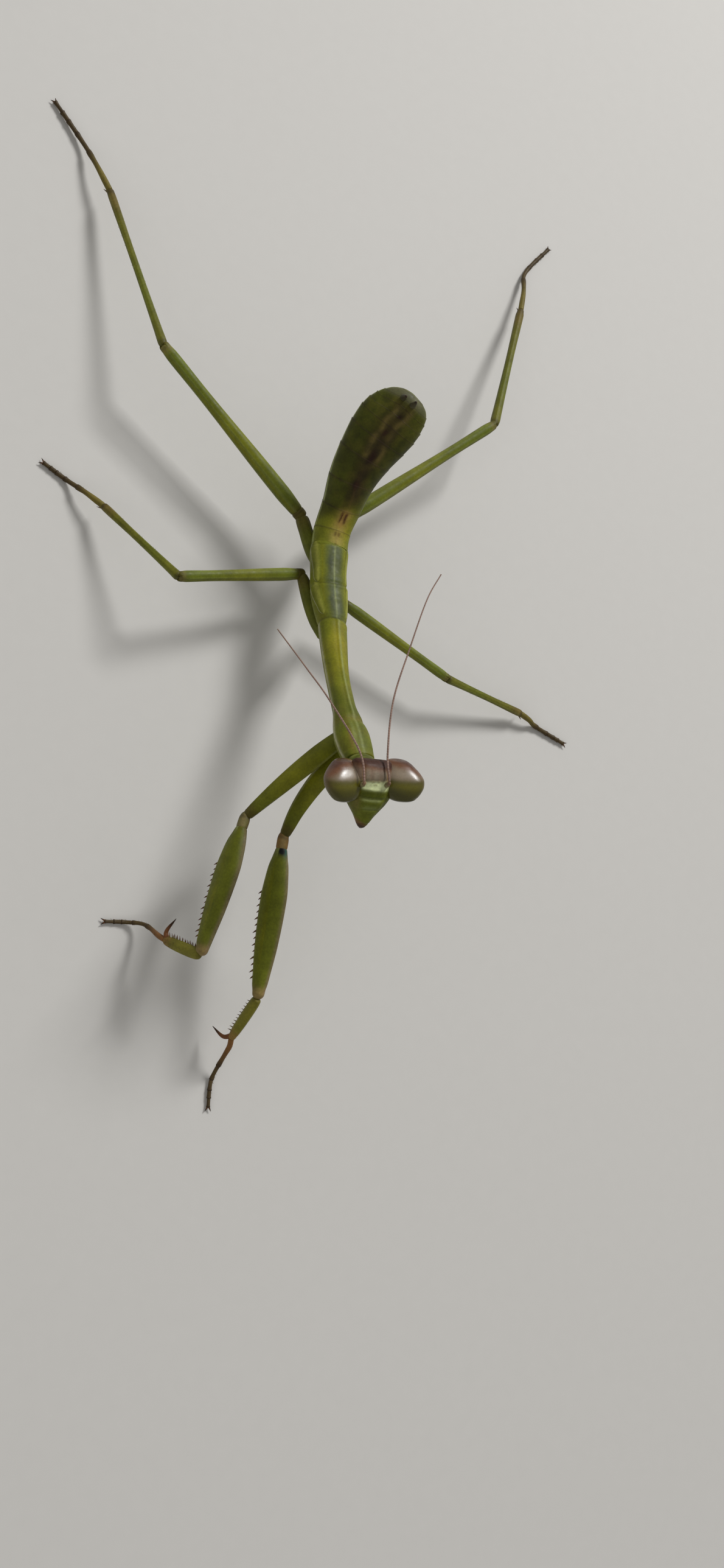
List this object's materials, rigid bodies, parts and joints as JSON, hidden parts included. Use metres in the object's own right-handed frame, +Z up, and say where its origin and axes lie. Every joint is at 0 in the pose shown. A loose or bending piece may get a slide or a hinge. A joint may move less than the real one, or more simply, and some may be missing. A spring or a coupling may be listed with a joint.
{
  "type": "praying mantis",
  "caption": "Life-size still model of a wingless green praying mantis nymph, standing on its walking legs with head and abdomen raised and its spined forelegs reaching out.",
  "frame": {"origin": "under the middle of the whole animal, on the floor that its feet stand on", "axes": "-Y is where the animal faces, so +Y runs towards its hind feet and is its longest extent; +X is towards its left side; +Z is up and the shortest extent"},
  "size_m": [0.045, 0.0754, 0.0169],
  "materials": {
    "green_cuticle": "waxy semi-gloss",
    "olive_cuticle": "waxy semi-gloss",
    "brown_cuticle": "satin",
    "tarsus_cuticle": "satin",
    "eye_shell": "glossy"
  },
  "bodies": {
    "root": {"abdomen_1": "olive_cuticle", "abdomen_10": "olive_cuticle", "abdomen_2": "olive_cuticle", "abdomen_3": "olive_cuticle", "abdomen_4": "olive_cuticle", "abdomen_5": "olive_cuticle", "abdomen_6": "olive_cuticle", "abdomen_7": "olive_cuticle", "abdomen_8": "olive_cuticle", "abdomen_9": "olive_cuticle", "antenna_left": "brown_cuticle", "antenna_right": "brown_cuticle", "cercus_left": "green_cuticle", "cercus_right": "green_cuticle", "eye_left": "eye_shell", "eye_right": "eye_shell", "foreleg_left_coxa": "green_cuticle", "foreleg_left_femur": "green_cuticle", "foreleg_left_tarsus": "tarsus_cuticle", "foreleg_left_tibia": "green_cuticle", "foreleg_left_trochanter": "brown_cuticle", "foreleg_right_coxa": "green_cuticle", "foreleg_right_femur": "green_cuticle", "foreleg_right_tarsus": "tarsus_cuticle", "foreleg_right_tibia": "green_cuticle", "foreleg_right_trochanter": "brown_cuticle", "head": "green_cuticle", "hind_leg_left_coxa": "green_cuticle", "hind_leg_left_femur": "green_cuticle", "hind_leg_left_tarsus": "tarsus_cuticle", "hind_leg_left_tibia": "green_cuticle", "hind_leg_left_trochanter": "brown_cuticle", "hind_leg_right_coxa": "green_cuticle", "hind_leg_right_femur": "green_cuticle", "hind_leg_right_tarsus": "tarsus_cuticle", "hind_leg_right_tibia": "green_cuticle", "hind_leg_right_trochanter": "brown_cuticle", "mesothorax": "green_cuticle", "metathorax": "green_cuticle", "middle_leg_left_coxa": "green_cuticle", "middle_leg_left_femur": "green_cuticle", "middle_leg_left_tarsus": "tarsus_cuticle", "middle_leg_left_tibia": "green_cuticle", "middle_leg_left_trochanter": "brown_cuticle", "middle_leg_right_coxa": "green_cuticle", "middle_leg_right_femur": "green_cuticle", "middle_leg_right_tarsus": "tarsus_cuticle", "middle_leg_right_tibia": "green_cuticle", "middle_leg_right_trochanter": "brown_cuticle", "mouthparts": "brown_cuticle", "neck": "green_cuticle", "prothorax": "green_cuticle"}
  },
  "joints": []
}
